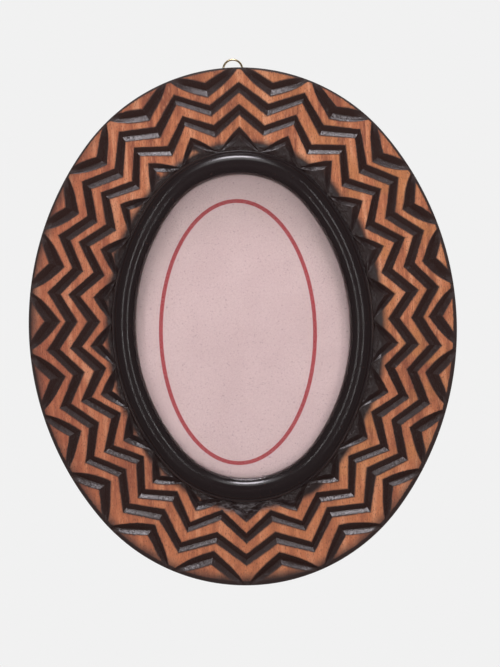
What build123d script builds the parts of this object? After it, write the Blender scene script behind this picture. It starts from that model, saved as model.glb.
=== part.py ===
from build123d import *
import os
from math import atan2, cos, degrees, pi, sin

# Oval picture frame for a 127 x 178 mm oval photo, carved with rows of zigzag grooves.
# Millimetres, +Z up, +X to the right, the front faces -Y. The origin is the centre of
# the oval on the flat back of the carved board, so a height above the back is -Y.

# Glass: the four arcs of its edge set the shape of every oval in the frame
GLASS_WIDTH = 127.0
GLASS_HEIGHT = 178.0
GLASS_END_RADIUS = 50.0
GLASS_THICKNESS = 2.0

# Carved board: the band runs from the edge of the opening to the rim
BOARD_THICKNESS = 16.0
BAND_WIDTH = 60.6
LIP_COVER = 2.9
REBATE_CLEARANCE = 0.6
RIM_ROUND = 2.5
BACK_EDGE_EASE = 1.0

# Card and backing behind the glass
CARD_THICKNESS = 0.5
BACKING_THICKNESS = 3.0
SHEET_CLEARANCE = 0.9

# Bead moulding glued into a seat round the opening
BEAD_WIDTH = 11.9
BEAD_RISE = 3.5
BEAD_SPRING_DROP = 1.0
FLANGE_WIDTH = 1.5
FLANGE_RISE = 0.6
SEAT_DEPTH = 4.0
GLUE_GAP = 0.1

# Zigzag carving: V-grooves whose width is measured across the band. The zigzag is laid out
# by eye, so it sits a little high and to the right, and its points drift by shares of the
# step between them. The rows are shares of a full groove, from the rim inwards
ZIGZAG_COUNT = 22
ZIGZAG_LIFT = 1.5
ZIGZAG_SIDE = 0.6
DRIFT_SHARES = (0.17, -0.25, 0.14)
ZIGZAG_RISE = 11.4
GROOVE_WIDTH = 7.0
GROOVE_DEPTH = 2.0
ROW_SHARES = (1.1, 0.97, 0.9, 0.88)
ROW_PITCH = 12.5
OUTER_ROW_INSET = 8.1
TIP_LAND = 0.8
LEAF_MIDDLE_SHARE = 0.6
RIM_LEAF_SHARE = 0.87
MOULDING_LEAF_SHARE = 0.68

# Turn buttons at the four diagonals of the back
BUTTON_COUNT = 4
BUTTON_THICKNESS = 1.2
BUTTON_PIVOT_RADIUS = 5.0
BUTTON_TIP_RADIUS = 3.5
BUTTON_LENGTH = 15.0
BUTTON_INSET = 9.0
BUTTON_EDGE_EASE = 0.3
BUTTON_PLAY = 0.1
PIVOT_PLAY = 0.08

# Slotted wood screws for the buttons and the hanger
SCREW_SHANK_RADIUS = 1.4
SCREW_HEAD_RADIUS = 3.0
SCREW_HEAD_HEIGHT = 1.8
SCREW_HEAD_ROUND = 0.9
SCREW_GRIP = 9.0
SCREW_FIT = 0.05
SLOT_WIDTH = 0.9
SLOT_DEPTH = 0.8

# Hanger: a strap folded double round the straight bar of a wire ring
STRAP_SHEET = 0.7
STRAP_WIDTH = 7.0
STRAP_LENGTH = 12.5
STRAP_SCREW_DROP = 5.9
EYE_PLAY = 0.08
RING_WIRE_RADIUS = 0.6
RING_WIDTH = 12.0
RING_HEIGHT = 11.1
RING_CORNER_RADIUS = 1.6
RING_SHOW = 6.0

CUT_OVERRUN = 0.5

# Places worked out from the sizes above
SIGHT_GROW = -LIP_COVER
RIM_GROW = SIGHT_GROW + BAND_WIDTH
MIDDLE_GROW = SIGHT_GROW + BAND_WIDTH / 2
REBATE_DEPTH = BACKING_THICKNESS + CARD_THICKNESS + GLASS_THICKNESS
MOULDING_WIDTH = BEAD_WIDTH + FLANGE_WIDTH
END_CENTRE = GLASS_HEIGHT / 2 - GLASS_END_RADIUS
SIDE_EXCESS = GLASS_WIDTH / 2 - GLASS_END_RADIUS
SIDE_RADIUS = GLASS_END_RADIUS + (END_CENTRE**2 + SIDE_EXCESS**2) / (2 * SIDE_EXCESS)
SIDE_CENTRE = SIDE_RADIUS - GLASS_WIDTH / 2
ARC_JOINT = atan2(END_CENTRE, SIDE_CENTRE)
RIM_TOP = GLASS_HEIGHT / 2 + RIM_GROW
UPWARDS = (Align.CENTER, Align.CENTER, Align.MIN)
DOWNWARDS = (Align.CENTER, Align.CENTER, Align.MAX)

# The glass edge's arcs, clockwise from the top: centre, radius, start angle, turn
OVAL_ARCS = (
    ((0, END_CENTRE), GLASS_END_RADIUS, pi / 2, pi / 2 - ARC_JOINT),
    ((-SIDE_CENTRE, 0), SIDE_RADIUS, ARC_JOINT, 2 * ARC_JOINT),
    ((0, -END_CENTRE), GLASS_END_RADIUS, -ARC_JOINT, pi - 2 * ARC_JOINT),
    ((SIDE_CENTRE, 0), SIDE_RADIUS, ARC_JOINT - pi, 2 * ARC_JOINT),
    ((0, END_CENTRE), GLASS_END_RADIUS, -pi - ARC_JOINT, pi / 2 - ARC_JOINT),
)


def oval(grow):
    """Face of the oval that lies outside the glass edge by grow."""
    arcs = []
    for centre, radius, start, turn in OVAL_ARCS:
        arcs.append(CenterArc(centre, radius + grow, degrees(start), -degrees(turn)))
    return make_face(arcs)


def slab(grow, low, high):
    """Oval plate between two heights above the back of the board."""
    return extrude(Plane.XZ.offset(low) * oval(grow), high - low)


def oval_length(grow):
    """Length right round the oval that lies outside the glass edge by grow."""
    return sum((radius + grow) * turn for _, radius, _, turn in OVAL_ARCS)


def band_place(share, grow):
    """Arc centre, radius and outward angle of a place on the oval that lies outside the
    glass by grow, at a share of that oval's length, clockwise from the top."""
    left = share % 1 * oval_length(grow)
    for centre, radius, start, turn in OVAL_ARCS:
        length = (radius + grow) * turn
        if left <= length:
            break
        left -= length
    return centre, radius, start - left / (radius + grow)


def band_point(share, reach, height):
    """Point on the line that crosses the band square to its middle, by its reach from the
    edge of the opening and its height above the back."""
    centre, radius, angle = band_place(share, MIDDLE_GROW)
    out = radius + SIGHT_GROW + reach
    return Vector(centre[0] + out * cos(angle), -height, centre[1] + out * sin(angle))


def groove_section(share, reach, size):
    """V section across the band. The V keeps its angle, and size is a share of its depth."""
    depth = GROOVE_DEPTH * size
    spread = GROOVE_WIDTH / 2 * (depth + CUT_OVERRUN) / GROOVE_DEPTH
    top = BOARD_THICKNESS + CUT_OVERRUN
    outer = band_point(share, reach + spread, top)
    floor = band_point(share, reach, BOARD_THICKNESS - depth)
    inner = band_point(share, reach - spread, top)
    return Wire.make_polygon([outer, floor, inner])


def corner_share(corner):
    """Place of a corner of the zigzag, as a share of the way round: even steps plus drift."""
    corners = 2 * ZIGZAG_COUNT
    turn = 2 * pi * corner / corners
    steady, once, twice = DRIFT_SHARES
    return (corner + steady + once * sin(turn) + twice * sin(2 * turn)) / corners


def corner_section(corner, reach, size):
    """V section at a corner of the zigzag, moved with the whole zigzag up and to the right."""
    share = corner_share(corner)
    moved = ZIGZAG_LIFT * cos(2 * pi * share) + ZIGZAG_SIDE * sin(2 * pi * share)
    return groove_section(share, reach + moved, size)


def zigzag_groove(valley_reach, size):
    """Cutters of one groove that zigzags right round the band, mitred at every corner."""
    sections = []
    for corner in range(2 * ZIGZAG_COUNT + 1):
        rise = 0 if corner % 2 else ZIGZAG_RISE
        sections.append(corner_section(corner, valley_reach + rise, size))
    return [Solid.make_loft(pair, ruled=True) for pair in zip(sections, sections[1:])]


def leaf_pair(corner, reach, tip_reach, size, middle_size):
    """Cutters of two leaf-shaped arms that start from one corner of the zigzag and run out
    in points beside the two next corners."""
    root_share = corner_share(corner)
    root = corner_section(corner, reach, size)
    arms = []
    for side in (-1, 1):
        tip_share = corner_share(corner + side) - side * TIP_LAND / 2 / oval_length(MIDDLE_GROW)
        middle_share = root_share + (tip_share - root_share) * LEAF_MIDDLE_SHARE
        middle_reach = reach + (tip_reach - reach) * LEAF_MIDDLE_SHARE
        middle = groove_section(middle_share, middle_reach, size * middle_size)
        tip = Vertex(band_point(tip_share, tip_reach, BOARD_THICKNESS + CUT_OVERRUN))
        arms.append(Solid.make_loft([root, middle], ruled=True))
        arms.append(Solid.make_loft([middle, tip], ruled=True))
    return arms


def carving():
    """Cutters of all the grooves: leaves at the rim, whole zigzags, leaves at the moulding."""
    outer_row = BAND_WIDTH - OUTER_ROW_INSET - GROOVE_WIDTH / 2
    inner_row = outer_row - ROW_PITCH * (len(ROW_SHARES) - 1) + ZIGZAG_RISE
    cutters = []
    for row, size in enumerate(ROW_SHARES[1:-1], 1):
        cutters += zigzag_groove(outer_row - row * ROW_PITCH, size)
    for zigzag in range(ZIGZAG_COUNT):
        cutters += leaf_pair(2 * zigzag + 1, outer_row, BAND_WIDTH, ROW_SHARES[0], RIM_LEAF_SHARE)
        cutters += leaf_pair(2 * zigzag, inner_row, MOULDING_WIDTH, ROW_SHARES[-1], MOULDING_LEAF_SHARE)
    return cutters


def back_plane(x, z, angle):
    """Plane on the back, seen from behind, whose x axis points at an angle in the XZ plane."""
    return Plane((x, 0, z), x_dir=(cos(angle), 0, sin(angle)), z_dir=(0, 1, 0))


def button_planes():
    """Planes of the turn buttons' pivots, with x towards the middle of the oval."""
    planes = []
    for button in range(BUTTON_COUNT):
        grow = REBATE_CLEARANCE + BUTTON_INSET
        centre, radius, angle = band_place((button + 1 / 2) / BUTTON_COUNT, grow)
        x = centre[0] + (radius + grow) * cos(angle)
        z = centre[1] + (radius + grow) * sin(angle)
        planes.append(back_plane(x, z, angle + pi))
    return planes


def screw_hole(plane):
    """Pilot hole of a wood screw, from the back into the board."""
    drill = Cylinder(SCREW_SHANK_RADIUS + SCREW_FIT, SCREW_GRIP + CUT_OVERRUN, align=DOWNWARDS)
    return plane * Pos(0, 0, CUT_OVERRUN) * drill


def wood_screw(plane, stand):
    """Slotted round-head screw whose head starts at a height above the back."""
    shank = Cylinder(SCREW_SHANK_RADIUS, SCREW_GRIP + stand, align=DOWNWARDS)
    head = Cylinder(SCREW_HEAD_RADIUS, SCREW_HEAD_HEIGHT, align=UPWARDS)
    head = fillet(head.edges().sort_by(Axis.Z)[-1], SCREW_HEAD_ROUND)
    slot = Box(2 * SCREW_HEAD_RADIUS, SLOT_WIDTH, SLOT_DEPTH, align=DOWNWARDS)
    return plane * Pos(0, 0, stand) * (head + shank - Pos(0, 0, SCREW_HEAD_HEIGHT) * slot)


def carved_frame():
    """Board with a rounded rim, opening, rebate, moulding seat, pilot holes and carving."""
    board = slab(RIM_GROW, 0, BOARD_THICKNESS)
    board = fillet(board.edges().group_by(Axis.Y)[0], RIM_ROUND)
    board = chamfer(board.edges().group_by(Axis.Y)[-1], BACK_EDGE_EASE)
    board -= slab(SIGHT_GROW, -CUT_OVERRUN, BOARD_THICKNESS + CUT_OVERRUN)
    board -= slab(REBATE_CLEARANCE, -CUT_OVERRUN, REBATE_DEPTH)
    seat_grow = SIGHT_GROW + MOULDING_WIDTH + GLUE_GAP
    board -= slab(seat_grow, BOARD_THICKNESS - SEAT_DEPTH, BOARD_THICKNESS + CUT_OVERRUN)
    holes = [screw_hole(plane) for plane in button_planes() + [hanger_plane()]]
    return board - holes - carving()


def bead_moulding():
    """Half-round bead with a thin flange, carried round the four arcs of the opening."""
    face = BOARD_THICKNESS
    spring = (0, face - BEAD_SPRING_DROP)
    crest = (BEAD_WIDTH / 2, face + BEAD_RISE)
    foot = (BEAD_WIDTH, face + FLANGE_RISE)
    edge = (MOULDING_WIDTH, face + FLANGE_RISE)
    base = face - SEAT_DEPTH
    bead = ThreePointArc(spring, crest, foot)
    outline = Polyline(foot, edge, (MOULDING_WIDTH, base), (0, base), spring)
    profile = make_face([bead, *outline.edges()])
    moulding = []
    for centre, radius, start, turn in OVAL_ARCS:
        axis = Axis((centre[0], 0, centre[1]), (0, 1, 0))
        out = radius + SIGHT_GROW
        origin = (centre[0] + out * cos(start), 0, centre[1] + out * sin(start))
        plane = Plane(origin, x_dir=(cos(start), 0, sin(start)), z_dir=(sin(start), 0, -cos(start)))
        moulding.append(revolve(plane * profile, axis, degrees(turn)))
    return Part() + moulding


def turn_button(plane):
    """Stamped plate that tapers from its pivot to its tip, with the upper edge eased."""
    pivot = Circle(BUTTON_PIVOT_RADIUS)
    tip = Pos(BUTTON_LENGTH) * Circle(BUTTON_TIP_RADIUS)
    plate = extrude(make_hull(pivot.edges() + tip.edges()), BUTTON_THICKNESS)
    plate = chamfer(plate.edges().group_by(Axis.Z)[-1], BUTTON_EDGE_EASE)
    plate -= Cylinder(SCREW_SHANK_RADIUS + PIVOT_PLAY, BUTTON_THICKNESS, align=UPWARDS)
    return plane * Pos(0, 0, BUTTON_PLAY) * plate


def hanger_plane():
    """Plane of the hanger's screw, with x pointing down the back."""
    return back_plane(0, RIM_TOP + RING_SHOW - RING_HEIGHT - STRAP_SCREW_DROP, -pi / 2)


def ring_axis_plane():
    """Plane through the ring's bar, with x pointing down the back and the bar along y."""
    return hanger_plane() * Pos(-STRAP_SCREW_DROP, 0, RING_WIRE_RADIUS + EYE_PLAY + STRAP_SHEET)


def hanger_strap():
    """Doubled strap with a round lower end, an eye for the ring's bar and a screw hole."""
    straight = STRAP_LENGTH - STRAP_WIDTH / 2
    outline = Rectangle(straight, STRAP_WIDTH, align=(Align.MIN, Align.CENTER))
    outline += Pos(straight) * Circle(STRAP_WIDTH / 2)
    leaf = hanger_plane() * Pos(-STRAP_SCREW_DROP) * extrude(outline, 2 * STRAP_SHEET)
    bore_radius = RING_WIRE_RADIUS + EYE_PLAY
    eye = ring_axis_plane() * Rot(90) * Cylinder(bore_radius + STRAP_SHEET, STRAP_WIDTH)
    bore = ring_axis_plane() * Rot(90) * Cylinder(bore_radius, STRAP_WIDTH)
    hole = hanger_plane() * Cylinder(SCREW_SHANK_RADIUS + PIVOT_PLAY, 4 * STRAP_SHEET)
    return leaf + eye - bore - hole


def hanging_ring():
    """Wire ring with a straight bar, rounded corners and a half-round arch, standing up."""
    half = RING_WIDTH / 2 - RING_WIRE_RADIUS
    leg = RING_HEIGHT - RING_WIDTH / 2
    corner = RING_CORNER_RADIUS
    path = [
        CenterArc((0, leg), half, 0, 180),
        Line((-half, leg), (-half, corner)),
        CenterArc((corner - half, corner), corner, 180, 90),
        Line((corner - half, 0), (half - corner, 0)),
        CenterArc((half - corner, corner), corner, 270, 90),
        Line((half, corner), (half, leg)),
    ]
    wire = sweep(Pos(half, leg) * Rot(90) * Circle(RING_WIRE_RADIUS), Wire(path))
    return ring_axis_plane() * Rot(0, 0, 90) * wire


sheet_grow = REBATE_CLEARANCE - SHEET_CLEARANCE
glass_back = BACKING_THICKNESS + CARD_THICKNESS
button_stand = BUTTON_THICKNESS + 2 * BUTTON_PLAY
PARTS = {
    "carved_frame": carved_frame(),
    "bead_moulding": bead_moulding(),
    "glass_pane": slab(0, glass_back, REBATE_DEPTH),
    "photo_card": slab(sheet_grow, BACKING_THICKNESS, glass_back),
    "backing_board": slab(sheet_grow, 0, BACKING_THICKNESS),
    "turn_button_screws": Compound(children=[wood_screw(pivot, button_stand) for pivot in button_planes()]),
    "hanger_strap": hanger_strap(),
    "hanger_screw": wood_screw(hanger_plane(), 2 * STRAP_SHEET),
    "hanging_ring": hanging_ring(),
}
for number, pivot in enumerate(button_planes(), 1):
    PARTS[f"turn_button_{number}"] = turn_button(pivot)

os.makedirs("parts", exist_ok=True)
for name, part in PARTS.items():
    export_step(part, f"parts/{name}.step")
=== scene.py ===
from math import pi, radians

import bmesh
import bpy
import numpy as np
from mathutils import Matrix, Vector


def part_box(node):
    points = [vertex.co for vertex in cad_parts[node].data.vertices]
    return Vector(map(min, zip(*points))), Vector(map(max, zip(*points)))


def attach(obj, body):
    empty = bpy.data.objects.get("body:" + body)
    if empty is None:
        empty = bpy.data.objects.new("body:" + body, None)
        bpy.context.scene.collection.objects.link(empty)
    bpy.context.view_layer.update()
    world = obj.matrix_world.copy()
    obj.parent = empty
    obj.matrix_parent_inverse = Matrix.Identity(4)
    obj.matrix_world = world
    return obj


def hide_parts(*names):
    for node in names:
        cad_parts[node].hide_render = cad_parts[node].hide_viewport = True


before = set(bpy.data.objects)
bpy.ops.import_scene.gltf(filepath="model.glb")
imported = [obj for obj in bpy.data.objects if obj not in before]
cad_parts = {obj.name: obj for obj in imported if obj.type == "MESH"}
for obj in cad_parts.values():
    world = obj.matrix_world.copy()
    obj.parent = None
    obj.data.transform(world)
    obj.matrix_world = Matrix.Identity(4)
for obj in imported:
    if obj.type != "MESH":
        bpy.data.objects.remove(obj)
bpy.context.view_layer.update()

# Carved board: one oval plank of a reddish hardwood, with a rounded rim and a rebate behind
# the opening. Four rows of V-grooves are cut by hand with a V-tool, painted black with the
# rim, and the face is sanded back so that the lands between the grooves show stained wood.
MM = 0.001

# Sizes are in millimetres, and a reach is measured outwards from the opening.
END_RADIUS, END_CENTRE = 50.0, 39.0
SIDE_RADIUS, SIDE_CENTRE = 113.083, 49.583
LIP_COVER = 2.9
BAND_WIDTH = 60.6
BOARD_THICKNESS = 16.0
REBATE_DEPTH, REBATE_REACH = 5.5, 3.5
RIM_ROUND, BACK_EDGE_EASE = 2.5, 1.0
SEAT_REACH, SEAT_HEIGHT = 13.5, 12.0
MOULDING_EDGE = 13.4
ZIGZAG_CORNERS = 44
ZIGZAG_RISE = 11.4
ZIGZAG_LIFT, ZIGZAG_SIDE = 1.5, 0.6
DRIFT_SHARES = (0.17, -0.25, 0.14)
GROOVE_WIDTH, GROOVE_DEPTH = 7.0, 2.0
ROW_SHARES = (0.88, 0.92, 0.93, 1.15)
ROW_PITCH, OUTER_ROW = 12.5, 49.0
INNER_LEAF_ROOT = OUTER_ROW - 3 * ROW_PITCH + ZIGZAG_RISE
RIM_LEAF_ROOT = 48.0
MOULDING_LEAF_POWER, RIM_LEAF_POWER = 2.2, 4.0
TIP_LAND, TIP_CLEARANCE, TIP_STEP = 0.8, 0.08, 0.03
HAND_SEED = 22
HAND_REACH, HAND_WIDTH, HAND_DEPTH = 0.4, 0.05, 0.07
GRAIN_PULL, SIDE_PULL, PULL_START = 0.14, 0.11, 0.25

joint_angle = np.arctan2(END_CENTRE, SIDE_CENTRE)
side_turn, half_end_turn = 2 * joint_angle, pi / 2 - joint_angle
ARC_X = np.array([0, -SIDE_CENTRE, 0, SIDE_CENTRE, 0])
ARC_Z = np.array([END_CENTRE, 0, -END_CENTRE, 0, END_CENTRE])
ARC_RADIUS = np.array([END_RADIUS, SIDE_RADIUS, END_RADIUS, SIDE_RADIUS, END_RADIUS])
ARC_START = np.array([pi / 2, joint_angle, -joint_angle, joint_angle - pi, -pi - joint_angle])
ARC_TURN = np.array([half_end_turn, side_turn, 2 * half_end_turn, side_turn, half_end_turn])
MIDDLE_LENGTHS = (ARC_RADIUS - LIP_COVER + BAND_WIDTH / 2) * ARC_TURN


def band_place(share):
    """Arc number and outward angle at a share of the way round the middle of the band,
    clockwise from the top: the length gone is looked up in the arcs' summed lengths."""
    ends = np.cumsum(MIDDLE_LENGTHS)
    gone = np.asarray(share) % 1 * ends[-1]
    arc = np.minimum(np.searchsorted(ends, gone, side="right"), len(ends) - 1)
    into = gone - (ends[arc] - MIDDLE_LENGTHS[arc])
    return arc, ARC_START[arc] - ARC_TURN[arc] * into / MIDDLE_LENGTHS[arc]


def band_point(share, reach):
    """X and Z of a point on the line that crosses the band at a share of the way round:
    the arc's centre plus its radius and the reach from the opening, along the outward angle."""
    arc, angle = band_place(share)
    out = ARC_RADIUS[arc] - LIP_COVER + reach
    return np.stack([ARC_X[arc] + out * np.cos(angle), ARC_Z[arc] + out * np.sin(angle)])


def band_reach(point):
    """Reach of an X, Z point from the opening: its distance from the centre of the arc whose
    sector it lies in, less that arc's radius at the opening."""
    x, z = np.abs(point)
    side = np.arctan2(z, x + SIDE_CENTRE) < joint_angle
    beside = np.hypot(x + SIDE_CENTRE, z) - SIDE_RADIUS
    above = np.hypot(x, z - END_CENTRE) - END_RADIUS
    return np.where(side, beside, above) + LIP_COVER


def face_height(point):
    """Height of the uncarved face above the back: flat, then a quarter round at the rim."""
    over = np.clip(band_reach(point) - BAND_WIDTH + RIM_ROUND, 0, RIM_ROUND)
    return BOARD_THICKNESS - RIM_ROUND + np.sqrt(RIM_ROUND**2 - over**2)


def zigzag_share(corner):
    """Place of a corner of the zigzag as a share of the way round: even steps, plus a drift
    of one and two slow waves, because the carver spaced the points by eye."""
    turn = 2 * pi * corner / ZIGZAG_CORNERS
    steady, once, twice = DRIFT_SHARES
    return (corner + steady + once * np.sin(turn) + twice * np.sin(2 * turn)) / ZIGZAG_CORNERS


hand = np.random.default_rng(HAND_SEED)


def by_hand(spread):
    """One small seeded error of the hand for each corner, the last the same as the first."""
    error = hand.normal(0, spread, ZIGZAG_CORNERS)
    return np.append(error, error[0])


ARM_COLUMNS = 16
tip_share = TIP_LAND / 2 * ZIGZAG_CORNERS / MIDDLE_LENGTHS.sum()
arm_steps = np.linspace(tip_share, 1 - tip_share, ARM_COLUMNS, endpoint=False)
arm_steps = np.concatenate([[0, tip_share / 2], arm_steps, [1 - tip_share, 1 - tip_share / 2]])
arm = np.repeat(np.arange(ZIGZAG_CORNERS), len(arm_steps))
along = np.tile(arm_steps, ZIGZAG_CORNERS)
column_share = zigzag_share(arm + along)
column_angle = band_place(column_share)[1]
column_out = np.stack([np.cos(column_angle), np.sin(column_angle)])
corners = np.arange(ZIGZAG_CORNERS + 1)
corner_turn = 2 * pi * zigzag_share(corners)
corner_move = ZIGZAG_LIFT * np.cos(corner_turn) + ZIGZAG_SIDE * np.sin(corner_turn)


def from_corner_to_corner(values):
    """Straight runs between values at the corners, one for every column of the grid."""
    return values[..., arm] * (1 - along) + values[..., arm + 1] * along


def arm_pull(run, middle):
    """Share of its set width to which an arm is cut: wider where it crosses the upright grain,
    by the cosine of twice its direction, and wider at the sides of the frame than at its ends."""
    across = (run[0] ** 2 - run[1] ** 2) / (run[0] ** 2 + run[1] ** 2)
    return 1 + GRAIN_PULL * across - SIDE_PULL * np.cos(4 * pi * middle)


INNER_EDGE, GROOVE_FLOOR, OUTER_EDGE = -1, 0, 1


def straight_row(valley_reach, size):
    """Inner edge, floor, outer edge and depth of a groove that zigzags right round: V sections
    at the corners, in and out by turns, joined by straight runs. A corner between arms of two
    widths leans, so that both pairs of edges meet."""
    share = zigzag_share(corners)
    reach = valley_reach + ZIGZAG_RISE * (corners % 2 == 0) + corner_move + by_hand(HAND_REACH)
    half = size * GROOVE_WIDTH / 2 * (1 + by_hand(HAND_WIDTH))
    pull = arm_pull(np.diff(band_point(share, reach)), zigzag_share(corners[:-1] + 0.5))
    before, after = np.append(pull[-1], pull), np.append(pull, pull[0])
    wide = (before + after) / 2
    lean = half * (after - before) / (2 * ZIGZAG_RISE * ZIGZAG_CORNERS)
    lean = np.where(corners % 2, -lean, lean)
    lines = []
    for side in (INNER_EDGE, GROOVE_FLOOR, OUTER_EDGE):
        section = band_point(share + side * lean, reach + side * half * wide)
        lines.append(from_corner_to_corner(section))
    depth = size * GROOVE_DEPTH * wide * (1 + by_hand(HAND_DEPTH))
    return lines, from_corner_to_corner(depth)


def leaf_row(root_parity, root_reach, tip_reach, size, power):
    """Inner edge, floor, outer edge and depth of a row of leaf-shaped arms. Each runs straight
    from a corner to a point beside the next one, and its width and depth fall from full at
    the root to nothing at the tip as one less a power of the way gone."""
    starts = arm % 2 == root_parity
    root = np.where(starts, arm, arm + 1)
    far = np.where(starts, arm + 1, arm)
    gone = np.where(starts, along, 1 - along) / (1 - tip_share)
    tip = zigzag_share(far) - np.where(starts, 1, -1) * tip_share / ZIGZAG_CORNERS
    reach = root_reach + corner_move[root] + by_hand(HAND_REACH)[root]
    root_point = band_point(zigzag_share(root), reach)
    whole = band_point(tip, tip_reach) - root_point
    past_tip = band_point(column_share, tip_reach)
    run = np.where(gone > 1, past_tip, root_point + whole * np.minimum(gone, 1))
    pull = arm_pull(whole, zigzag_share(arm + 0.5))
    own = pull[:: len(arm_steps)]
    shared = (own[root - 1] + own[root % ZIGZAG_CORNERS]) / 2
    pull = shared + (pull - shared) * np.minimum(gone / PULL_START, 1)
    swell = size * pull * (1 - np.minimum(gone, 1) ** power)
    half = GROOVE_WIDTH / 2 * swell * (1 + by_hand(HAND_WIDTH)[root])
    depth = GROOVE_DEPTH * swell * (1 + by_hand(HAND_DEPTH)[root])
    lines = []
    for side in (INNER_EDGE, GROOVE_FLOOR, OUTER_EDGE):
        line = run + side * half * column_out
        low = SEAT_REACH + TIP_CLEARANCE + TIP_STEP * side
        high = BAND_WIDTH - TIP_CLEARANCE + TIP_STEP * side
        found = band_reach(line)
        lines.append(line + (np.clip(found, low, high) - found) * column_out)
    return lines, depth


board_lines = []


def board_line(point, height, inside):
    """Adds one line round the board: X, Y as the height above the back, which is forward along
    minus Y, Z, and the distance inside the nearest groove's edge, negative on the lands."""
    blank = np.zeros(point.shape[1])
    board_lines.append(np.stack([point[0], -height + blank, point[1], inside + blank]))


FAR_OUTSIDE = -9.0


def plain_line(reach, height):
    """Adds a line of the board that keeps one reach and one height all the way round."""
    board_line(band_point(column_share, reach), height, FAR_OUTSIDE)


# An arm slants across the columns, so this share of a width along them lies square to it.
SQUARE_SHARE = 0.75


def land(inner, outer, steps, drop):
    """Adds the lines of a land between two edges: shares of the way across, on the face, less
    a drop that dies away from the inner edge to the outer."""
    gap = np.hypot(*(outer - inner))
    for step in steps:
        point = inner + (outer - inner) * step
        inside = -SQUARE_SHARE * gap * min(step, 1 - step)
        board_line(point, face_height(point) - drop * (1 - step), inside)


SOFT_SHARE, SOFT_FALL = 0.1, 0.05
WALL_STEPS = (0, SOFT_SHARE, 0.4, 0.75, 1)


def groove(lines, depth):
    """Adds the lines of a V-groove: two straight walls with softened upper edges and a floor."""
    inner, floor_line, outer = lines
    bottom = np.minimum(face_height(floor_line), BOARD_THICKNESS - depth)
    for edge, steps in ((inner, WALL_STEPS[:-1]), (outer, WALL_STEPS[::-1])):
        width = np.hypot(*(floor_line - edge))
        top = face_height(edge)
        for step in steps:
            point = edge + (floor_line - edge) * step
            fall = SOFT_FALL if step == SOFT_SHARE else step
            board_line(point, top + (bottom - top) * fall, SQUARE_SHARE * width * step)


CHIP_DROP, CHIP_WAVE, CHIP_WAVES = 0.9, 0.3, 7
CHIP_STEPS = (0, 0.2, 0.45, 0.7, 0.9)
LAND_STEPS = (0.08, 0.3, 0.5, 0.7, 0.92)
RIM_STEPS, RIM_ANGLES = (0.15, 0.4, 0.7), range(0, 91, 15)
RIM_GAP = 0.006
SIDE_HEIGHTS = (10, 6, BACK_EDGE_EASE)
BACK_LINES = 7

rows = [leaf_row(0, INNER_LEAF_ROOT, MOULDING_EDGE, ROW_SHARES[0], MOULDING_LEAF_POWER)]
rows += [straight_row(OUTER_ROW - ROW_PITCH * (3 - row), ROW_SHARES[row]) for row in (1, 2)]
rows += [leaf_row(1, RIM_LEAF_ROOT, BAND_WIDTH, ROW_SHARES[3], RIM_LEAF_POWER)]

plain_line(0, REBATE_DEPTH)
plain_line(0, SEAT_HEIGHT)
plain_line(SEAT_REACH, SEAT_HEIGHT)
chip_start = len(board_lines)
chip_drop = CHIP_DROP * (1 - CHIP_WAVE + CHIP_WAVE * np.sin(CHIP_WAVES * column_angle))
edge_before = band_point(column_share, SEAT_REACH)
drop_before, steps_before = chip_drop, CHIP_STEPS
for lines, depth in rows:
    land(edge_before, lines[0], steps_before, drop_before)
    groove(lines, depth)
    edge_before, drop_before, steps_before = lines[2], 0.0, LAND_STEPS
reach_before = band_reach(edge_before)
round_start = BAND_WIDTH - RIM_ROUND
rim_targets = [reach_before + (round_start - reach_before) * step for step in RIM_STEPS]
rim_targets += [round_start + RIM_ROUND * np.sin(radians(angle)) for angle in RIM_ANGLES]
for number, target in enumerate(rim_targets, 1):
    reach = np.minimum(np.maximum(target, reach_before + RIM_GAP * number), BAND_WIDTH)
    point = edge_before + (reach - reach_before) * column_out
    board_line(point, face_height(point), -SQUARE_SHARE * (reach - reach_before))
for height in SIDE_HEIGHTS:
    plain_line(BAND_WIDTH, height)
for reach in np.linspace(BAND_WIDTH - BACK_EDGE_EASE, REBATE_REACH, BACK_LINES):
    plain_line(reach, 0)
plain_line(REBATE_REACH, REBATE_DEPTH)

SHARP_ANGLE = 32
SAME_PLACE = 0.0001


def skin_piece(name, points, wraps, values=()):
    """Object whose skin covers a grid of points, in millimetres: each point and its three
    neighbours towards the next column and the next line make one quad. The columns wrap
    round, and so do the lines if wraps is true. Each of the values is a name and one number
    for every point, for the material to read. Points that lie in one place are joined into
    one, which closes poles and leaf tips."""
    here = np.arange(points[..., 0].size).reshape(points.shape[:2])
    right = np.roll(here, -1, 1)
    quads = np.stack([here, right, np.roll(right, -1, 0), np.roll(here, -1, 0)], -1)
    quads = quads if wraps else quads[:-1]
    mesh = bpy.data.meshes.new(name)
    mesh.from_pydata((points.reshape(-1, 3) * MM).tolist(), [], quads.reshape(-1, 4).tolist())
    mesh.shade_smooth()
    mesh.set_sharp_from_angle(angle=radians(SHARP_ANGLE))
    for label, numbers in dict(values).items():
        kept = mesh.attributes.new(label, "FLOAT", "POINT")
        kept.data.foreach_set("value", np.asarray(numbers, np.float32).ravel())
    skin = bmesh.new()
    skin.from_mesh(mesh)
    bmesh.ops.remove_doubles(skin, verts=skin.verts, dist=SAME_PLACE * MM)
    skin.to_mesh(mesh)
    skin.free()
    piece = bpy.data.objects.new(name, mesh)
    bpy.context.scene.collection.objects.link(piece)
    return piece


board_x, board_y, board_z, board_inside = np.stack(board_lines, 1)
chipped = np.zeros(board_x.shape)
chipped[chip_start : chip_start + len(CHIP_STEPS) + 1] = 1
board_values = {
    "edge": board_inside,
    "reach": band_reach(np.stack([board_x, board_z])),
    "chip": chipped,
}
board = skin_piece("board", np.stack([board_x, board_y, board_z], -1), True, board_values)
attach(board, "frame")
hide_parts("carved_frame")


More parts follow.
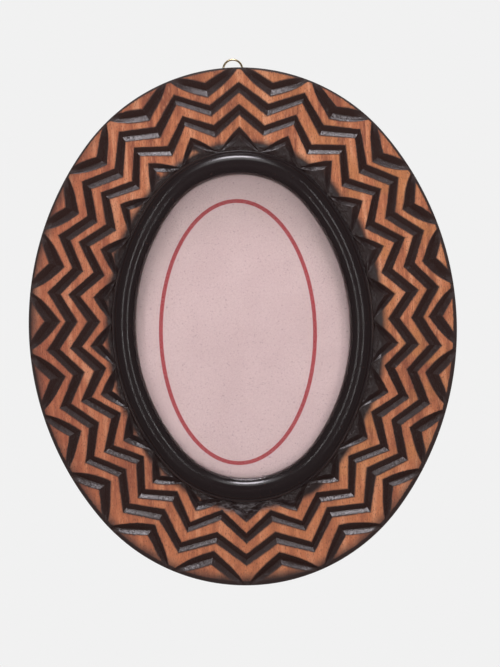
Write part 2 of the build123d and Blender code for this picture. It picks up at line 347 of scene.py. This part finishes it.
def colour(red, green, blue):
    """Linear colour of an sRGB colour given as 0 to 255, by the standard curve: a straight
    foot, then a power."""
    share = np.array([red, green, blue]) / 255
    linear = np.where(share > 0.04045, ((share + 0.055) / 1.055) ** 2.4, share / 12.92)
    return (*linear.tolist(), 1.0)


def set_inputs(tree, node, inputs):
    """Sets a node's inputs to values, or links them to sockets."""
    for socket, value in inputs.items():
        if isinstance(value, bpy.types.NodeSocket):
            tree.links.new(value, node.inputs[socket])
        else:
            node.inputs[socket].default_value = value


def put(tree, kind, inputs=(), **settings):
    """Outputs of a new node with its settings and its inputs."""
    node = tree.nodes.new(kind)
    for name, value in settings.items():
        setattr(node, name, value)
    set_inputs(tree, node, dict(inputs))
    return node.outputs


def sums(tree, operation, first, second=0.0):
    """Result of one sum on one or two values or sockets."""
    return put(tree, "ShaderNodeMath", {0: first, 1: second}, operation=operation)[0]


def plus(tree, first, second):
    """First and second together."""
    return sums(tree, "ADD", first, second)


def minus(tree, first, second):
    """First less second."""
    return sums(tree, "SUBTRACT", first, second)


def times(tree, first, second):
    """First times second, which is where two masks meet."""
    return sums(tree, "MULTIPLY", first, second)


def larger(tree, first, second):
    """Larger of the two, which is where either mask is."""
    return sums(tree, "MAXIMUM", first, second)


def either_way(tree, noise, spread):
    """Noise of 0 to 1 made an error of up to half the spread either way."""
    return times(tree, minus(tree, noise, 0.5), spread)


def eased(tree, value, start, end, low=0.0, high=1.0):
    """Value eased smoothly from low to high as it goes from start to end."""
    inputs = {"Value": value, "From Min": start, "From Max": end, "To Min": low, "To Max": high}
    return put(tree, "ShaderNodeMapRange", inputs, interpolation_type="SMOOTHSTEP")["Result"]


def tinted(tree, share, first, second):
    """Second colour laid over the first by a share, in the colour sockets of a mix node."""
    return put(tree, "ShaderNodeMix", {0: share, 6: first, 7: second}, data_type="RGBA")[2]


def layered(tree, ground, layers):
    """Colours laid over a ground one after another, each by its own share."""
    for share, tone in layers:
        ground = tinted(tree, share, ground, tone)
    return ground


def cloud(tree, place, per_metre, detail, distortion=0.0):
    """Noise of 0 to 1 whose grain is set by the counts per metre along X, Y and Z."""
    scaled = put(tree, "ShaderNodeMapping", {"Vector": place, "Scale": per_metre})[0]
    inputs = {"Vector": scaled, "Scale": 1.0, "Detail": detail, "Distortion": distortion}
    return put(tree, "ShaderNodeTexNoise", inputs)["Fac"]


def effect_group(name, results):
    """Empty node group that takes a place on the piece and gives out the named values."""
    tree = bpy.data.node_groups.new(name, "ShaderNodeTree")
    tree.interface.new_socket("Place", in_out="INPUT", socket_type="NodeSocketVector")
    for result in results:
        tree.interface.new_socket(result, in_out="OUTPUT", socket_type="NodeSocketFloat")
    return tree, put(tree, "NodeGroupInput")["Place"]


# Timber grain runs up the frame: broad figure, short dark pores and fine raised streaks.
FIGURE_COUNTS = (180, 180, 18)
PORE_COUNTS = (2000, 1300, 800)
STREAK_COUNTS = (1250, 700, 210)

timber_grain, place = effect_group("timber_grain", ("Figure", "Pores", "Streaks"))
put(
    timber_grain,
    "NodeGroupOutput",
    {
        "Figure": cloud(timber_grain, place, FIGURE_COUNTS, 5, 0.6),
        "Pores": eased(timber_grain, cloud(timber_grain, place, PORE_COUNTS, 1), 0.57, 0.7),
        "Streaks": cloud(timber_grain, place, STREAK_COUNTS, 4, 0.3),
    },
)

# Handling marks are the patchiness and the stray specks that any made surface picks up.
PATCH_COUNTS = (42, 42, 42)
SPECK_COUNTS = (620, 620, 620)
FUZZ_COUNTS = (900, 900, 900)

handling_marks, place = effect_group("handling_marks", ("Patches", "Specks", "Fuzz"))
put(
    handling_marks,
    "NodeGroupOutput",
    {
        "Patches": cloud(handling_marks, place, PATCH_COUNTS, 4, 0.4),
        "Specks": eased(handling_marks, cloud(handling_marks, place, SPECK_COUNTS, 1), 0.7, 0.78),
        "Fuzz": cloud(handling_marks, place, FUZZ_COUNTS, 3),
    },
)


def use_group(tree, group, place):
    """Outputs of an effect group placed in a material."""
    return put(tree, "ShaderNodeGroup", {"Place": place}, node_tree=group)


def new_finish(name):
    """New material: its node tree, its Principled shader and its place on the piece."""
    material = bpy.data.materials.new(name)
    material.use_nodes = True
    tree = material.node_tree
    return material, tree, tree.nodes["Principled BSDF"], put(tree, "ShaderNodeTexCoord")["Object"]


def kept_value(tree, name):
    """Number that a piece keeps under a name at each of its points."""
    return put(tree, "ShaderNodeAttribute", attribute_name=name)["Fac"]


def raised(tree, height, distance, strength):
    """Normal of a surface raised by a height times a distance in metres, by a share."""
    inputs = {"Height": height, "Distance": distance, "Strength": strength}
    return put(tree, "ShaderNodeBump", inputs)["Normal"]


STAIN_DARK = colour(139, 71, 45)
STAIN = colour(187, 108, 68)
STAIN_PALE = colour(223, 152, 113)
STAIN_RED = colour(167, 85, 58)
GOLD_TONE = colour(191, 121, 67)
STAIN_WARM = colour(203, 119, 76)
PORE = colour(66, 34, 26)
EDGE_DARK = colour(70, 35, 26)
BLACK_PAINT = colour(51, 32, 29)
BLACK_WASH = colour(38, 23, 22)
# Pale grey of a painted sheen: highlights on the black paint, painted into its colour.
SHEEN_GREY = colour(150, 141, 146)

# Where each stain, paint or mark starts and where it is full: places and sums of places on the
# frame in metres, reaches and distances inside a groove's edge in millimetres.
RED_SIDE_X = (-0.02, -0.12)
GOLD_SIDE_X = (-0.06, 0.1)
WARM_FOOT_Z = (-0.06, -0.13)
SHEEN_FOOT_Z = (-0.095, -0.115)
PAINT_BACK_Y = (-0.0004, -0.0016)
LOWER_LEFT = (0.14, -0.12)
LOW_DOWN = (0.14, -0.15)
LOW_RIGHT = (0.0, -0.13)
EDGE_DARK_SPAN = (-0.8, 0.0)
PAINT_EDGE = (-0.12, 0.12)
CUT_EDGE = (-0.2, 0.5)
RIM_LINE_REACH = (58.9, 59.8)
RIM_DUST_REACH = (53.5, 61.5)
RIM_DULL_REACH = (56.5, 58.5)
SEAT_DUST_REACH = (20.8, 16.6)
SHEEN_REACH = (21.5, 18.5)
DAUB_REACH = (19.0, 15.5)
WASH_REACH = (24, 18)

# How far edges wander and lean, how rough the finishes are, and how fine the painted sheen and the
# brush marks.
PAINT_RAGGED, DUST_WANDER, RIM_WANDER, PAINT_BACK_WANDER = 0.9, 7.0, 0.15, 0.002
RIM_LINE_GAIN, RIM_DUST_GAIN = 1.5, 1.7
LOW_DOWN_SLOPE, LOW_RIGHT_SLOPE = 0.25, 0.4
SEAT_DUST_SLOPE, FLECK_SLOPE = 20.0, -2.2
WOOD_ROUGHNESS, RIM_ROUGHNESS = 0.62, 0.75
SHEEN_COUNTS, DAUB_COUNTS = (260, 260, 800), (300, 300, 300)

carved_wood, tree, shader, place = new_finish("carved_wood")
grain = use_group(tree, timber_grain, place)
marks = use_group(tree, handling_marks, place)
inside = kept_value(tree, "edge")
reach = kept_value(tree, "reach")
chip = kept_value(tree, "chip")
spot = put(tree, "ShaderNodeSeparateXYZ", {"Vector": place})

# Lighter, yellower patches towards the right side of the frame.
golden = times(tree, eased(tree, marks["Patches"], 0.42, 0.62), eased(tree, spot["X"], *GOLD_SIDE_X))
# The wood is darker, in patches, within a short way of each groove's edge.
edge_dark_patches = eased(tree, marks["Patches"], 0.35, 0.6, 0.3, 0.8)
wood = layered(
    tree,
    STAIN_DARK,
    (
        (eased(tree, grain["Figure"], 0.34, 0.55), STAIN),
        (eased(tree, grain["Figure"], 0.5, 0.72), STAIN_PALE),
        (eased(tree, grain["Streaks"], 0.5, 0.3, 0.0, 0.32), STAIN_DARK),
        (eased(tree, grain["Streaks"], 0.53, 0.7, 0.0, 0.45), STAIN_PALE),
        (eased(tree, spot["X"], *RED_SIDE_X, 0.0, 0.45), STAIN_RED),
        (times(tree, golden, 0.55), GOLD_TONE),
        (eased(tree, spot["Z"], *WARM_FOOT_Z, 0.0, 0.4), STAIN_WARM),
        (times(tree, grain["Pores"], 0.55), PORE),
        (times(tree, eased(tree, inside, *EDGE_DARK_SPAN), edge_dark_patches), EDGE_DARK),
    ),
)

# Paint lies in the grooves, on the rim, on the chipped land by the seat, and as dusting beside
# the rim and the seat, all with ragged edges. It ends just short of the back.
ragged = either_way(tree, marks["Fuzz"], PAINT_RAGGED)
wander = either_way(tree, marks["Patches"], DUST_WANDER)
in_groove = eased(tree, plus(tree, inside, ragged), *PAINT_EDGE)
low_down = minus(tree, spot["Z"], times(tree, spot["X"], LOW_DOWN_SLOPE))
rim_edge = plus(tree, plus(tree, reach, ragged), times(tree, wander, RIM_WANDER))
rim_edge = plus(tree, rim_edge, eased(tree, low_down, *LOW_DOWN, 0.0, RIM_LINE_GAIN))
on_rim = eased(tree, rim_edge, *RIM_LINE_REACH)
dust_edge = plus(tree, reach, plus(tree, wander, ragged))
low_right = minus(tree, spot["Z"], times(tree, spot["X"], LOW_RIGHT_SLOPE))
rim_dust_edge = plus(tree, dust_edge, eased(tree, low_right, *LOW_RIGHT, 0.0, RIM_DUST_GAIN))
lower_left = eased(tree, plus(tree, spot["X"], spot["Z"]), *LOWER_LEFT)
rim_dust_share = eased(tree, lower_left, 0.0, 1.0, 0.1, 1.0)
rim_dust = times(tree, eased(tree, rim_dust_edge, *RIM_DUST_REACH), rim_dust_share)
seat_dust_edge = minus(tree, dust_edge, times(tree, spot["X"], SEAT_DUST_SLOPE))
seat_dust = eased(tree, seat_dust_edge, *SEAT_DUST_REACH)
flecks = plus(tree, marks["Patches"], times(tree, spot["X"], FLECK_SLOPE))
on_chip = times(tree, chip, eased(tree, flecks, 0.7, 0.6))
painted = in_groove
for mask in (on_rim, rim_dust, on_chip, seat_dust):
    painted = larger(tree, painted, mask)
paint_back = plus(tree, spot["Y"], times(tree, ragged, PAINT_BACK_WANDER))
painted = times(tree, painted, eased(tree, paint_back, *PAINT_BACK_Y))

# Pale grey patches on the paint by the seat at the foot of the frame are painted sheen: highlights of
# the light above on paint that faces up.
sheen_patches = eased(tree, cloud(tree, place, SHEEN_COUNTS, 3, 1.0), 0.46, 0.6, 0.0, 0.9)
sheen_by_seat = times(tree, eased(tree, reach, *SHEEN_REACH), eased(tree, spot["Z"], *SHEEN_FOOT_Z))
paint = layered(
    tree,
    BLACK_PAINT,
    (
        (eased(tree, reach, *WASH_REACH), BLACK_WASH),
        (times(tree, sheen_patches, sheen_by_seat), SHEEN_GREY),
    ),
)
paint_roughness = eased(tree, marks["Fuzz"], 0.36, 0.64, 0.3, 0.38)
roughness = eased(tree, painted, 0, 1, WOOD_ROUGHNESS, paint_roughness)
cut = larger(tree, eased(tree, inside, *CUT_EDGE, 0.25, 1.0), chip)
height = times(tree, minus(tree, grain["Streaks"], grain["Pores"]), cut)
daubs = times(tree, cloud(tree, place, DAUB_COUNTS, 3, 0.8), eased(tree, reach, *DAUB_REACH, 0.0, 6.0))
height = plus(tree, height, times(tree, daubs, painted))
dull_rim = eased(tree, reach, *RIM_DULL_REACH, 0.0, RIM_ROUGHNESS)
set_inputs(
    tree,
    shader,
    {
        "Base Color": tinted(tree, painted, wood, paint),
        "Roughness": larger(tree, roughness, dull_rim),
        "Specular IOR Level": 0.6,
        "Normal": raised(tree, height, 0.0002, 0.8),
    },
)
board.data.materials.append(carved_wood)

# Bead moulding: a half-round wooden bead with a thin flange, turned to the oval, lacquered
# black and glued into its seat round the opening. It hides the edge of the carving.
BEAD_WIDTH, BEAD_RISE = 11.9, 3.5
BEAD_SPRING, FLANGE_RISE, FLANGE_EASE = 15.0, 0.6, 0.35
BEAD_STEPS, EASE_STEPS, BEAD_COLUMNS = 28, 5, 420

bead_top = BOARD_THICKNESS + BEAD_RISE
flange_top = BOARD_THICKNESS + FLANGE_RISE


def arc_through(start, middle, end, steps):
    """Points of the arc from one point by way of a second to a third, clockwise: its centre
    lies as far from the first as from each of the others, which is two straight equations."""
    start, middle, end = (np.array(point) for point in (start, middle, end))
    spans = 2 * np.stack([middle - start, end - start])
    squares = np.array([middle @ middle, end @ end]) - start @ start
    centre = np.linalg.solve(spans, squares)
    first, last = (np.arctan2(*(point - centre)[::-1]) for point in (start, end))
    swing = np.linspace(first + 2 * pi * (first < 0), last, steps)
    return centre + np.hypot(*(start - centre)) * np.stack([np.cos(swing), np.sin(swing)], -1)


def carried_round(profile, columns):
    """Grid of a section carried round the oval: each point of the section keeps its reach
    from the opening and its height above the back at every share of the way round."""
    share = np.linspace(0, 1, columns, endpoint=False)
    x, z = band_point(share, profile[:, :1])
    return np.stack([x, 0 * x - profile[:, 1:], z], -1)


ease_angle = np.linspace(pi / 2, 0, EASE_STEPS)
ease = FLANGE_EASE * np.stack([np.cos(ease_angle), np.sin(ease_angle)], -1)
bead_profile = np.concatenate(
    [
        arc_through((0, BEAD_SPRING), (BEAD_WIDTH / 2, bead_top), (BEAD_WIDTH, flange_top), BEAD_STEPS),
        ease + (MOULDING_EDGE - FLANGE_EASE, flange_top - FLANGE_EASE),
        [(MOULDING_EDGE, SEAT_HEIGHT), (0, SEAT_HEIGHT)],
    ]
)
bead_values = {"reach": np.repeat(bead_profile[:, 0], BEAD_COLUMNS)}
bead = skin_piece("bead", carried_round(bead_profile, BEAD_COLUMNS), True, bead_values)
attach(bead, "frame")
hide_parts("bead_moulding")

LACQUER = colour(34, 25, 26)
LACQUER_BROWN = colour(68, 46, 40)
INNER_BROWN_REACH, FLANGE_WEAR_REACH = (0.7, 0.0), (12.2, 12.9)

black_lacquer, tree, shader, place = new_finish("black_lacquer")
grain = use_group(tree, timber_grain, place)
marks = use_group(tree, handling_marks, place)
reach = kept_value(tree, "reach")
# The lacquer turns browner towards the inner edge, and is worn brown on the flange and in specks.
inner_patches = eased(tree, marks["Patches"], 0.35, 0.6, 0.3, 1.0)
inner_edge_brown = times(tree, eased(tree, reach, *INNER_BROWN_REACH), inner_patches)
flange_patches = eased(tree, marks["Patches"], 0.4, 0.62, 0.0, 0.35)
flange_wear = times(tree, eased(tree, reach, *FLANGE_WEAR_REACH), flange_patches)
browned = larger(tree, larger(tree, inner_edge_brown, flange_wear), times(tree, marks["Specks"], 0.5))
height = plus(tree, times(tree, marks["Fuzz"], 0.5), times(tree, grain["Streaks"], 0.35))
set_inputs(
    tree,
    shader,
    {
        "Base Color": tinted(tree, browned, LACQUER, LACQUER_BROWN),
        "Roughness": eased(tree, marks["Patches"], 0.3, 0.7, 0.16, 0.25),
        "Specular IOR Level": 0.45,
        "Normal": raised(tree, height, 0.00006, 0.6),
    },
)
bead.data.materials.append(black_lacquer)

# Glass pane: 2 mm float glass cut to the oval, dropped into the rebate from behind. It lies
# against the board's lip, and its cut edge is hidden. The shadow of clear glass is left out.
GLASS_TINT = (0.97, 0.985, 0.975, 1.0)

clear_glass, tree, shader, place = new_finish("clear_glass")
marks = use_group(tree, handling_marks, place)
set_inputs(
    tree,
    shader,
    {
        "Base Color": GLASS_TINT,
        "Roughness": eased(tree, marks["Patches"], 0.4, 0.7, 0.0, 0.02),
        "Transmission Weight": 1.0,
        "IOR": 1.5,
        "Specular IOR Level": 0.3,
    },
)
rays = put(tree, "ShaderNodeLightPath")
no_shadow = put(tree, "ShaderNodeBsdfTransparent")[0]
surfaces = {0: rays["Is Shadow Ray"], 1: shader.outputs[0], 2: no_shadow}
surface = put(tree, "ShaderNodeMixShader", surfaces)[0]
set_inputs(tree, tree.nodes["Material Output"], {"Surface": surface})


def dress(node, finish):
    """Gives one of the frame's solids its finish in place of the plain one."""
    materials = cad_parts[node].data.materials
    materials.clear()
    materials.append(finish)


dress("glass_pane", clear_glass)

# Photo card: the pale pink paper that fills the opening, printed with one plain red oval
# line. It is cut to the oval and lies loose between the glass and the backing.
CARD_CLEARANCE = 0.3
CARD_FRONT, CARD_BACK = 3.44, 3.02
CARD_RINGS, CARD_COLUMNS = 24, 180

card_share = np.linspace(0, 1, CARD_COLUMNS, endpoint=False)
edge_x, edge_z = band_point(card_share, LIP_COVER - CARD_CLEARANCE)
spread = np.linspace(0, 1, CARD_RINGS)
spread = np.concatenate([spread, spread[::-1]])[:, None]
card_height = np.repeat([CARD_FRONT, CARD_BACK], CARD_RINGS)[:, None]
card_grid = np.stack([edge_x * spread, 0 * edge_x - card_height, edge_z * spread], -1)
card = skin_piece("card", card_grid, False)
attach(card, "frame")
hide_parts("photo_card")

PAPER = colour(208, 181, 181)
PAPER_SHADE = colour(194, 166, 166)
PRINT_RED = colour(156, 29, 40)
FLECK = colour(120, 92, 94)
LINE_X, LINE_Z = -2.9, -3.1
LINE_HALF_WIDTH, LINE_HALF_HEIGHT = 43.8, 74.5
LINE_WIDTH, LINE_SOFTNESS, LINE_TILT = 2.2, 0.1, 1.5
INK_BLEED = 0.3
FIBRE_COUNTS = (1300, 1300, 1300)

card_paper, tree, shader, place = new_finish("card_paper")
marks = use_group(tree, handling_marks, place)

# Distance from the printed line: the oval's equation, less one, over the length of its slope.
oval_place = {
    "Vector": place,
    "Location": (LINE_X * MM, 0, LINE_Z * MM),
    "Rotation": (0, radians(LINE_TILT), 0),
}
turned = put(tree, "ShaderNodeMapping", oval_place, vector_type="TEXTURE")[0]
across = put(tree, "ShaderNodeSeparateXYZ", {"Vector": turned})
oval_sum, slope_sum = -1.0, 0.0
for value, half in ((across["X"], LINE_HALF_WIDTH * MM), (across["Z"], LINE_HALF_HEIGHT * MM)):
    part = sums(tree, "DIVIDE", value, half)
    slope = sums(tree, "DIVIDE", part, half / 2)
    oval_sum = plus(tree, times(tree, part, part), oval_sum)
    slope_sum = plus(tree, times(tree, slope, slope), slope_sum)
off_line = sums(tree, "ABSOLUTE", sums(tree, "DIVIDE", oval_sum, sums(tree, "SQRT", slope_sum)))
off_line = plus(tree, off_line, either_way(tree, marks["Fuzz"], INK_BLEED * MM))
line_edge = ((LINE_WIDTH / 2 + LINE_SOFTNESS) * MM, (LINE_WIDTH / 2 - LINE_SOFTNESS) * MM)
printed = eased(tree, off_line, *line_edge)
paper = layered(
    tree,
    PAPER,
    (
        (eased(tree, marks["Patches"], 0.3, 0.7, 0.0, 0.5), PAPER_SHADE),
        (eased(tree, marks["Fuzz"], 0.38, 0.62, 0.0, 0.45), PAPER_SHADE),
        (eased(tree, cloud(tree, place, FIBRE_COUNTS, 1), 0.66, 0.74, 0.0, 0.5), FLECK),
    ),
)
ink = tinted(tree, eased(tree, marks["Fuzz"], 0.3, 0.7, 0.0, 0.12), PRINT_RED, PAPER)
set_inputs(
    tree,
    shader,
    {
        "Base Color": tinted(tree, printed, paper, ink),
        "Roughness": eased(tree, marks["Fuzz"], 0.3, 0.7, 0.75, 0.9),
        "Specular IOR Level": 0.25,
        "Normal": raised(tree, marks["Fuzz"], 0.00003, 0.5),
    },
)
card.data.materials.append(card_paper)

# Backing board: 3 mm hardboard cut to the oval, smooth side out, which closes the rebate and
# presses the card against the glass. The four turn buttons hold it in.
HARDBOARD = colour(122, 88, 60)
HARDBOARD_DARK = colour(92, 62, 42)
FIBRE = colour(160, 122, 86)
STRAND_COUNTS = (900, 900, 260)

hardboard, tree, shader, place = new_finish("hardboard")
marks = use_group(tree, handling_marks, place)
strands = eased(tree, cloud(tree, place, STRAND_COUNTS, 2, 1.5), 0.56, 0.7)
pressed_fibre = layered(
    tree,
    HARDBOARD,
    (
        (eased(tree, marks["Patches"], 0.3, 0.7), HARDBOARD_DARK),
        (times(tree, strands, 0.5), FIBRE),
        (times(tree, marks["Specks"], 0.5), FIBRE),
    ),
)
set_inputs(
    tree,
    shader,
    {
        "Base Color": pressed_fibre,
        "Roughness": eased(tree, marks["Patches"], 0.3, 0.7, 0.55, 0.7),
        "Specular IOR Level": 0.35,
        "Normal": raised(tree, plus(tree, strands, marks["Fuzz"]), 0.00008, 0.5),
    },
)
dress("backing_board", hardboard)

# Turn buttons and their screws: stamped brass plates that turn on slotted steel wood screws,
# driven into the back of the board at its four diagonals.
BUTTON_BRASS, BUTTON_TARNISH = colour(214, 178, 104), colour(150, 112, 58)
SCREW_STEEL, SCREW_TARNISH = colour(200, 186, 152), colour(128, 114, 86)
BUTTON_POLISH, SCREW_POLISH, TARNISH_DULLING = 0.28, 0.3, 0.2
RUB_COUNTS = (300, 300, 2600)
BUTTONS = 4


def worn_metal(name, metal, dull, polish):
    """Metal with patchy tarnish, which also dulls it, and fine rubbing scratches."""
    material, tree, shader, place = new_finish(name)
    marks = use_group(tree, handling_marks, place)
    rubs = cloud(tree, place, RUB_COUNTS, 2)
    tarnish = plus(tree, marks["Patches"], times(tree, marks["Specks"], 0.3))
    tarnish = eased(tree, tarnish, 0.4, 0.68)
    set_inputs(
        tree,
        shader,
        {
            "Base Color": tinted(tree, tarnish, metal, dull),
            "Metallic": 1.0,
            "Roughness": eased(tree, tarnish, 0, 1, polish, polish + TARNISH_DULLING),
            "Normal": raised(tree, plus(tree, rubs, marks["Fuzz"]), 0.00002, 0.5),
        },
    )
    return material


button_brass = worn_metal("button_brass", BUTTON_BRASS, BUTTON_TARNISH, BUTTON_POLISH)
screw_steel = worn_metal("screw_steel", SCREW_STEEL, SCREW_TARNISH, SCREW_POLISH)
for number in range(1, BUTTONS + 1):
    dress(f"turn_button_{number}", button_brass)
dress("turn_button_screws", screw_steel)

# Hanger: a brass strap folded double round the straight bar of a bent wire ring, screwed to
# the back at the top. The ring's arch stands up just past the rim and takes the wall hook.
HANGER_BRASS, HANGER_TARNISH = colour(206, 188, 154), colour(140, 118, 86)
HANGER_POLISH = 0.3
RING_WIRE, RING_CORNER = 0.6, 1.6
RING_SIDES, ARCH_STEPS, CORNER_STEPS = 20, 33, 9

hanger_brass = worn_metal("hanger_brass", HANGER_BRASS, HANGER_TARNISH, HANGER_POLISH)
dress("hanger_strap", hanger_brass)
dress("hanger_screw", screw_steel)

ring_low, ring_high = (np.array(corner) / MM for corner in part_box("hanging_ring"))
ring_half = (ring_high[0] - ring_low[0]) / 2 - RING_WIRE
bar_y = (ring_low[1] + ring_high[1]) / 2
bar_z = ring_low[2] + RING_WIRE
leg = ring_high[2] - RING_WIRE - ring_half - bar_z


def bend(x, z, radius, start, stop, steps):
    """X and Z of points on a bend in the wire, and of its outward direction at each, by the
    cosine and sine of angles in degrees."""
    angle = np.radians(np.linspace(start, stop, steps))
    out = np.stack([np.cos(angle), np.sin(angle)])
    return np.concatenate([np.array([[x], [z]]) + radius * out, out])


wire_bends = [
    bend(0, leg, ring_half, 0, 180, ARCH_STEPS),
    bend(RING_CORNER - ring_half, RING_CORNER, RING_CORNER, 180, 270, CORNER_STEPS),
    bend(ring_half - RING_CORNER, RING_CORNER, RING_CORNER, 270, 360, CORNER_STEPS),
]
# Taken clockwise, the bends give faces that point out of the wire.
wire_x, wire_z, out_x, out_z = np.concatenate(wire_bends, 1)[:, ::-1]
around = np.linspace(0, 2 * pi, RING_SIDES, endpoint=False)[:, None]
ring_x = wire_x + RING_WIRE * np.cos(around) * out_x
ring_y = bar_y + RING_WIRE * np.sin(around) + 0 * wire_x
ring_z = bar_z + wire_z + RING_WIRE * np.cos(around) * out_z
ring = skin_piece("ring", np.stack([ring_x, ring_y, ring_z], -1), True)
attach(ring, "ring")
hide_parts("hanging_ring")
ring.data.materials.append(hanger_brass)

# Studio: a pale floor below the frame and a pale surround, which lights the back. In front are
# a high softbox, a canopy, a low fill and two narrow strip lights beside the camera, which
# faces the frame squarely.
FLOOR_HEIGHT, FLOOR_RADIUS = -300.0, 620.0
FLOOR_RINGS, FLOOR_COLUMNS = 9, 96
FLOOR_PALE = colour(226, 226, 224)
FLOOR_SHADE = colour(220, 220, 218)
FLOOR_GLOW = 0.4

floor_turn = np.linspace(0, 2 * pi, FLOOR_COLUMNS, endpoint=False)
floor_ring = np.linspace(FLOOR_RADIUS, 0, FLOOR_RINGS)[:, None]
floor_x, floor_y = floor_ring * np.cos(floor_turn), floor_ring * np.sin(floor_turn)
floor = skin_piece("floor", np.stack([floor_x, floor_y, 0 * floor_x + FLOOR_HEIGHT], -1), False)
floor_paper, tree, shader, place = new_finish("floor_paper")
marks = use_group(tree, handling_marks, place)
rays = put(tree, "ShaderNodeLightPath")
set_inputs(
    tree,
    shader,
    {
        "Base Color": tinted(tree, eased(tree, marks["Patches"], 0.3, 0.7), FLOOR_PALE, FLOOR_SHADE),
        "Roughness": 0.9,
        "Emission Color": FLOOR_PALE,
        "Emission Strength": times(tree, rays["Is Camera Ray"], FLOOR_GLOW),
    },
)
floor.data.materials.append(floor_paper)
floor.visible_glossy = False

# The surround is seen at one level, mirrored at a level that falls towards the front, and
# lights the frame at a level that rises towards the back.
SURROUND, ROOM = 0.88, 0.1
AMBIENT, BACK_AMBIENT = 0.34, 0.8
MIRRORED_TURN, AMBIENT_TURN = (-0.2, 0.7), (0.0, 0.6)
HALF_BOUNCE = 0.5

world = bpy.data.worlds.new("surround")
bpy.context.scene.world = world
world.use_nodes = True
tree = world.node_tree
rays = put(tree, "ShaderNodeLightPath")
straight = sums(tree, "LESS_THAN", rays["Diffuse Depth"], HALF_BOUNCE)
through_glass = times(tree, rays["Is Transmission Ray"], straight)
seen = larger(tree, rays["Is Camera Ray"], through_glass)
direction = put(tree, "ShaderNodeTexCoord")["Generated"]
backward = put(tree, "ShaderNodeSeparateXYZ", {"Vector": direction})["Y"]
mirrored = eased(tree, backward, *MIRRORED_TURN, ROOM, SURROUND)
ambient = eased(tree, backward, *AMBIENT_TURN, AMBIENT, BACK_AMBIENT)
unseen = eased(tree, rays["Is Glossy Ray"], 0, 1, ambient, mirrored)
level = eased(tree, seen, 0, 1, unseen, SURROUND)
set_inputs(tree, tree.nodes["Background"], {"Color": (1, 1, 1, 1), "Strength": level})


def panel_light(name, place, size, radiance):
    """Rectangular light at a place in metres, facing the frame, with power for an even
    radiance: pi times the radiance times the area."""
    lamp = bpy.data.lights.new(name, "AREA")
    lamp.shape = "RECTANGLE"
    lamp.size, lamp.size_y = size
    lamp.energy = radiance * pi * size[0] * size[1]
    holder = bpy.data.objects.new(name, lamp)
    bpy.context.scene.collection.objects.link(holder)
    holder.location = place
    holder.rotation_euler = holder.location.to_track_quat("Z", "Y").to_euler()
    holder.visible_camera = False
    return holder


softbox = panel_light("softbox", place=(0.0, -1.2, 2.65), size=(0.95, 0.76), radiance=21.5)
softbox.data.color = (0.98, 0.93, 1.0)
softbox.visible_diffuse = False
panel_light("canopy", place=(0.0, -1.05, 1.2), size=(0.85, 0.65), radiance=2.2)
fill = panel_light("fill", place=(0.0, -2.4, -0.7), size=(1.4, 1.4), radiance=4.9)
fill.visible_glossy = False
fill.visible_transmission = False
panel_light("strip_left", place=(-0.52, -1.15, 0.1), size=(0.03, 0.9), radiance=16.0)
panel_light("strip_right", place=(0.52, -1.15, 0.1), size=(0.03, 0.9), radiance=16.0)

# The camera is placed in metres and rolled by the few degrees that the frame leans.
CAMERA_DISTANCE, CAMERA_X, CAMERA_Z = 2.2, 0.0039, -0.0042
VIEW_HEIGHT, SENSOR_HEIGHT = 0.3772, 36.0
CAMERA_ROLL = 2.25

camera_data = bpy.data.cameras.new("camera")
camera_data.sensor_fit = "VERTICAL"
camera_data.sensor_height = SENSOR_HEIGHT
camera_data.lens = SENSOR_HEIGHT * CAMERA_DISTANCE / VIEW_HEIGHT
camera = bpy.data.objects.new("camera", camera_data)
bpy.context.scene.collection.objects.link(camera)
camera.rotation_euler = (radians(90), radians(CAMERA_ROLL), 0)
camera.location = (CAMERA_X, -BOARD_THICKNESS * MM - CAMERA_DISTANCE, CAMERA_Z)
bpy.context.scene.camera = camera
bpy.context.scene.view_settings.view_transform = "Standard"
